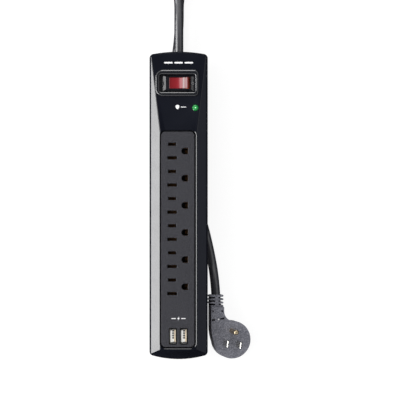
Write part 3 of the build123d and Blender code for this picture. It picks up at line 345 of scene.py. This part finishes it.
_nt.links.new(_k.outputs[0], _b.inputs["Metallic"])
lamp_glass = surface("lamp_glass", (0.8, 0.35, 0.2), rough=(0.1, 0.2), emit=(1.0, 0.25, 0.08), emit_strength=2.0)

FINISH = {
    "top_cover": gloss_black, "bottom_cover": base_black, "outlet_panel": panel_grey, "hot_bus_bar": brass, "neutral_bus_bar": brass,
    "ground_bus_bar": brass, "contact_tray": nylon_grey, "usb_board": board_tan, "usb_port_shells": USB_METAL, "usb_tongues": nylon_white,
    "usb_contacts": contact_painted_shade, "usb_transformer": comp_yellow, "usb_capacitors": comp_dark, "surge_board": board_tan,
    "surge_varistors": comp_blue, "thermal_fuse": comp_dark, "filter_capacitor": comp_yellow, "status_lens": GREEN, "status_led": GREEN,
    "switch_frame": bezel_black, "switch_housing": nylon_grey, "rocker": RED, "rocker_pin": steel, "contact_plunger": nylon_white,
    "plunger_spring": steel, "contact_seesaw": brass, "switch_terminals": brass, "neon_lamp": lamp_glass, "housing_screws": steel,
    "rubber_feet": rubber, "cord_clamp": nylon_white, "clamp_screws": steel, "wire_hot": wire_black, "wire_neutral": nylon_white,
    "wire_ground": wire_green, "cord_out": jacket, "cord_coil": jacket, "cord_return": jacket, "plug_body": plug_grey,
    "plug_line_blade": nickel, "plug_neutral_blade": nickel, "plug_ground_pin": brass_pin}
for name, m in FINISH.items():
    o = nodes[name]
    if o.material_slots:
        for s in o.material_slots:
            s.material = m
    else:
        o.data.materials.append(m)
cord.data.materials.append(jacket)


# ------------------------------------------------------------------ printed marks, a white dot on the plug, and thin sheets of painted light in the USB ports: thin raised outlines
def flat_mark(name, loops, origin, ex, ey, en, mat, thick=0.05, body="root", rings=()):
    """Closed outlines (lists of mm points) and rings, each a thin solid standing a little above a plane."""
    bm = bmesh.new()

    def row(pts, h):
        return [bm.verts.new(origin + (ex * x + ey * y) * MM + en * h * MM) for x, y in pts]

    for loop in loops:
        lo_v, hi_v = row(loop, -0.01), row(loop, thick)
        n = len(loop)
        bm.faces.new(list(reversed(lo_v)))
        bm.faces.new(hi_v)
        for i in range(n):
            j = (i + 1) % n
            bm.faces.new((lo_v[i], lo_v[j], hi_v[j], hi_v[i]))
    for cx, cy, ro, ri, n in rings:
        ang = [2 * math.pi * k / n for k in range(n)]
        o_pts = [(cx + ro * math.cos(t), cy + ro * math.sin(t)) for t in ang]
        i_pts = [(cx + ri * math.cos(t), cy + ri * math.sin(t)) for t in ang]
        ol, oh, il, ih = row(o_pts, -0.01), row(o_pts, thick), row(i_pts, -0.01), row(i_pts, thick)
        for i in range(n):
            j = (i + 1) % n
            bm.faces.new((oh[i], oh[j], ih[j], ih[i]))
            bm.faces.new((ol[j], ol[i], il[i], il[j]))
            bm.faces.new((ol[i], ol[j], oh[j], oh[i]))
            bm.faces.new((il[j], il[i], ih[i], ih[j]))
    bmesh.ops.recalc_face_normals(bm, faces=bm.faces)
    me = bpy.data.meshes.new(name)
    bm.to_mesh(me)
    bm.free()
    o = bpy.data.objects.new(name, me)
    scene.collection.objects.link(o)
    me.materials.append(mat)
    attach(o, body)
    return o


def bar(cx, cy, w, h):
    r = min(w, h) / 2 * 0.98
    pts = []
    for qx, qy, a0 in ((1, 1, 0), (-1, 1, 90), (-1, -1, 180), (1, -1, 270)):
        for k in range(7):
            t = math.radians(a0 + 15 * k)
            pts.append((cx + qx * (w / 2 - r) + r * math.cos(t), cy + qy * (h / 2 - r) + r * math.sin(t)))
    return pts


X, Y, Z = Vector((1, 0, 0)), Vector((0, 1, 0)), Vector((0, 0, 1))
SHIELD = [(0, 2.2), (1.7, 1.5), (1.7, -0.2), (1.1, -1.3), (0, -2.2), (-1.1, -1.3), (-1.7, -0.2), (-1.7, 1.5)]
flat_mark("mark_status", [[(x - 1.0, y) for x, y in SHIELD], bar(4.6, 0, 5.0, 0.7)], deck(0, 92 - 115, 0.0), DX, DV, DN, mark_white)
BOLT = [(0.5, 2.1), (-1.2, -0.4), (-0.1, -0.4), (-0.6, -2.1), (1.2, 0.5), (0.1, 0.5)]
flat_mark("mark_usb", [BOLT, bar(-4.6, 0, 4.2, 0.8), bar(4.6, 0, 4.2, 0.8)], Vector((0, -105.8, 45.0)) * MM, X, Y, Z, mark_white)
flat_mark("mark_top", [bar(-9.6, 0, 8.0, 1.5), bar(0, 0, 8.0, 1.5), bar(9.6, 0, 8.0, 1.5)], deck(0, 134 - 115, 0.0), DX, DV, DN, mark_white)
# on and off signs on the two sloping ends of the collar round the rocker
lx, ln = (DX * 4.4 + DN * 2.0).normalized(), (-DX * 2.0 + DN * 4.4).normalized()
flat_mark("mark_on", [bar(0, 0, 0.8, 4.6)], deck(-14.0, -0.4, -2.8 + 2.4 * 2.0 / 4.4), lx, DV, ln, mark_dark)
rx, rn = (DX * 2.8 - DN * 2.0).normalized(), (DX * 2.0 + DN * 2.8).normalized()
flat_mark("mark_off", [], deck(13.3, -0.4, -1.8), rx, DV, rn, mark_grey, rings=[(0, 0, 1.35, 0.9, 32)])
# what shows in the mouth of each USB port, as thin sheets of painted light: a white painted lit strip beside the
# tongue, its contact ends painted dark as shade, and the two bright walls, the inner side wall as a beige painted
# reflection and the bottom wall in nickel
painted_lit_strip = surface("painted_lit_strip", (0.90, 0.89, 0.86), (0.82, 0.81, 0.78), rough=(0.4, 0.55), grain=(2000, 0.1, 0.0001), var_scale=300)
painted_wall_reflection = surface("painted_wall_reflection", (0.72, 0.62, 0.48), (0.62, 0.53, 0.40), rough=(0.4, 0.55), grain=(2000, 0.1, 0.0001), var_scale=300)


def block(x0, x1, y0, y1):
    return [(x0, y0), (x1, y0), (x1, y1), (x0, y1)]


for k, ux in enumerate((-5.3, 4.9)):
    o = Vector((ux, -122.4, 42.5)) * MM
    flat_mark("usb_painted_lit_strip_%d" % k, [block(-0.64, 1.0, -5.2, 6.0)], o, X, Y, Z, painted_lit_strip, thick=0.3)
    flat_mark("usb_ends_painted_shade_%d" % k, [block(-0.62, 0.95, cy - 0.66, cy + 0.66) for cy in (5.0, 2.8, 0.6, -1.6)], o + Z * 0.32 * MM, X, Y, Z,
              contact_painted_shade, thick=0.12)
    flat_mark("usb_wall_painted_reflection_%d" % k, [block(1.35, 2.5, -5.2, 5.9)], o, X, Y, Z, painted_wall_reflection, thick=0.3)
    flat_mark("usb_foot_%d" % k, [block(-2.5, 2.5, -6.35, -5.3)], o, X, Y, Z, nickel, thick=0.3)
# white dot on the plug's face
PT = math.radians(12.0)
PO = Vector((48.0, -128.0, 18.1 * math.sin(PT))) * MM
PXD, PN = Vector((math.cos(PT), 0, -math.sin(PT))), Vector((math.sin(PT), 0, math.cos(PT)))
flat_mark("mark_plug", [bar(0, 0, 1.5, 1.5)], PO + (PXD * -13.4 + Y * 19.6 + PN * 13.5) * MM, PXD, Y, PN, mark_white)

# ------------------------------------------------------------------ floor and light
bm = bmesh.new()
bmesh.ops.create_grid(bm, x_segments=8, y_segments=8, size=4.0)
me = bpy.data.meshes.new("floor")
bm.to_mesh(me)
bm.free()
floor = bpy.data.objects.new("floor", me)
floor.location = (0, 0, -0.0002)
scene.collection.objects.link(floor)
fm, fnt, fb = new_mat("floor_white")
fb.inputs["Base Color"].default_value = (0.18, 0.18, 0.18, 1)
fb.inputs["Emission Color"].default_value = (1, 1, 1, 1)
fb.inputs["Emission Strength"].default_value = 0.87
fb.inputs["Roughness"].default_value = 0.9
fb.inputs["Specular IOR Level"].default_value = 0.0
me.materials.append(fm)
floor.visible_glossy = False


def area(name, loc, size, size_y, radiance, target=(0, 0, 0.03), colour=(1, 1, 1)):
    ld = bpy.data.lights.new(name, "AREA")
    ld.shape = "RECTANGLE"
    ld.size, ld.size_y = size, size_y
    ld.energy = radiance * size * size_y * math.pi
    ld.color = colour
    o = bpy.data.objects.new(name, ld)
    o.location = loc
    d = (Vector(target) - Vector(loc)).normalized()
    zc = -d
    side_on = abs(loc[0]) > abs(loc[1])
    xc = (Vector((0, 1, 0)) if side_on else Vector((1, 0, 0))).cross(zc)
    xc = xc.normalized() if xc.length > 1e-6 else Vector((1, 0, 0))
    yc = zc.cross(xc)
    o.rotation_euler = Matrix((xc, yc, zc)).transposed().to_euler()
    scene.collection.objects.link(o)
    return o


area("softbox_left", (-1.05, -0.10, 0.385), 0.30, 1.4, 12.5)
area("softbox_high", (-0.80, 0.02, 0.87), 0.22, 1.0, 4.0)
area("softbox_back", (0.0, 1.25, 0.72), 0.95, 0.5, 5.0)
area("fill_right", (1.05, -0.10, 0.36), 0.40, 1.5, 0.38, colour=(0.82, 0.86, 1.0))

world = bpy.data.worlds.new("world")
scene.world = world
world.use_nodes = True
wn = world.node_tree
for n in list(wn.nodes):
    wn.nodes.remove(n)
wo = wn.nodes.new("ShaderNodeOutputWorld")
bg = wn.nodes.new("ShaderNodeBackground")
bgc = wn.nodes.new("ShaderNodeBackground")
bgc.inputs[0].default_value = (1, 1, 1, 1)
bgc.inputs[1].default_value = 0.92
mxs = wn.nodes.new("ShaderNodeMixShader")
lp = wn.nodes.new("ShaderNodeLightPath")
tc = wn.nodes.new("ShaderNodeTexCoord")
sx = wn.nodes.new("ShaderNodeSeparateXYZ")
wn.links.new(tc.outputs["Generated"], sx.inputs[0])
wr = ramp(wn, [(0.0, (0.02,) * 3), (0.44, (0.03,) * 3), (0.58, (1.0,) * 3), (0.84, (1.0,) * 3), (0.93, (0.06,) * 3), (1.0, (0.03,) * 3)])
wn.links.new(sx.outputs["Z"], wr.inputs[0])
side = wn.nodes.new("ShaderNodeMapRange")
side.inputs["From Min"].default_value, side.inputs["From Max"].default_value = -0.8, 0.8
side.inputs["To Min"].default_value, side.inputs["To Max"].default_value = 1.2, 0.35
wn.links.new(sx.outputs["X"], side.inputs["Value"])
wmul = wn.nodes.new("ShaderNodeVectorMath")
wmul.operation = "SCALE"
wn.links.new(wr.outputs[0], wmul.inputs[0])
wn.links.new(side.outputs[0], wmul.inputs["Scale"])
wn.links.new(wmul.outputs[0], bg.inputs[0])
bg.inputs[1].default_value = 1.8
wn.links.new(lp.outputs["Is Camera Ray"], mxs.inputs[0])
wn.links.new(bg.outputs[0], mxs.inputs[1])
wn.links.new(bgc.outputs[0], mxs.inputs[2])
wn.links.new(mxs.outputs[0], wo.inputs[0])
scene.view_settings.view_transform = "Standard"
scene.view_settings.look = "None"
